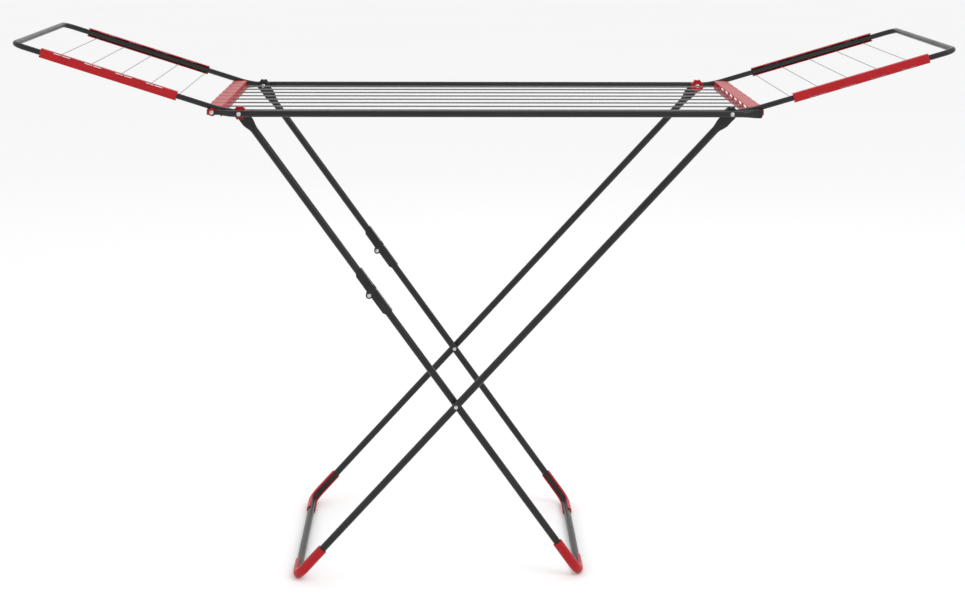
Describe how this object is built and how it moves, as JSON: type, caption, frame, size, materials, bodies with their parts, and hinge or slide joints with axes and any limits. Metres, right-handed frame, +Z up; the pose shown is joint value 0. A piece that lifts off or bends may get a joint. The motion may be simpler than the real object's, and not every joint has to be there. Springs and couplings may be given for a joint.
{
  "type": "clothes drying rack",
  "caption": "Folding winged clothes airer: lined top frame on crossed tube legs with a knee joint, and two hinged wings with clip-on rails.",
  "frame": {"origin": "middle of the rack on the floor, under the middle of the top frame", "axes": "+X along the rack, from the leg pivots of the knee leg to those of the straight leg; +Y across it, to the rear; +Z up"},
  "size_m": [1.8583, 0.5542, 1.1176],
  "materials": {
    "black_coat": "gloss powder coat",
    "red_plastic": "moulded, satin gloss",
    "black_plastic": "moulded, satin",
    "grey_line": "plastic-coated steel wire",
    "thin_line": "thin coated wire",
    "zinc": "bright zinc"
  },
  "bodies": {
    "top_frame": {"main_tube_front": "black_coat", "main_tube_rear": "black_coat", "end_bar_left": "red_plastic", "end_bar_right": "red_plastic", "drying_lines": "grey_line", "pivot_rivets": "zinc", "bar_rivets": "zinc", "pivot_washers": "zinc"},
    "wing_left": {"wing_tube_left": "black_coat", "wing_lines_left": "thin_line", "wing_hub_left_front": "red_plastic", "wing_hub_left_rear": "black_plastic", "wing_rail_left_front": "red_plastic", "wing_rail_left_rear": "red_plastic"},
    "wing_right": {"wing_tube_right": "black_coat", "wing_lines_right": "thin_line", "wing_hub_right_front": "black_plastic", "wing_hub_right_rear": "red_plastic", "wing_rail_right_front": "red_plastic", "wing_rail_right_rear": "red_plastic"},
    "leg_a_upper": {"leg_a_upper_front": "black_coat", "leg_a_upper_rear": "black_coat", "knee_bracket_upper_front": "black_coat", "knee_bracket_upper_rear": "black_coat", "knee_pins": "zinc"},
    "leg_a_lower": {"leg_a_lower_frame": "black_coat", "knee_bracket_lower_front": "black_coat", "knee_bracket_lower_rear": "black_coat", "foot_a_front": "red_plastic", "foot_a_rear": "red_plastic", "crossing_rivets_inner": "zinc"},
    "leg_b": {"leg_b_frame": "black_coat", "foot_b_front": "red_plastic", "foot_b_rear": "red_plastic", "crossing_rivets_outer": "zinc"}
  },
  "joints": [
    {"name": "leg_fold", "type": "hinge", "parent": "top_frame", "child": "leg_a_upper", "pos_m": [-0.485, 0, 0.978], "axis": [0, -1, 0], "range_deg": [0, 53.52]},
    {"name": "knee_bend", "type": "hinge", "parent": "leg_a_upper", "child": "leg_a_lower", "pos_m": [-0.23462, 0, 0.60649], "axis": [0, 1, 0], "range_deg": [0, 173.53]},
    {"name": "outer_leg_fold", "type": "hinge", "parent": "top_frame", "child": "leg_b", "pos_m": [0.485, 0, 0.978], "axis": [0, 1, 0], "range_deg": [0, 44.06]},
    {"name": "left_wing_fold", "type": "hinge", "parent": "top_frame", "child": "wing_left", "pos_m": [-0.485, 0, 0.978], "axis": [0, 1, 0], "range_deg": [0, 146.8]},
    {"name": "right_wing_fold", "type": "hinge", "parent": "top_frame", "child": "wing_right", "pos_m": [0.485, 0, 0.978], "axis": [0, -1, 0], "range_deg": [0, 148]}
  ],
  "couplings": [
    {"joint": "knee_bend", "follows": "leg_fold", "ratio": 3.2386},
    {"joint": "outer_leg_fold", "follows": "leg_fold", "ratio": 0.81955}
  ]
}
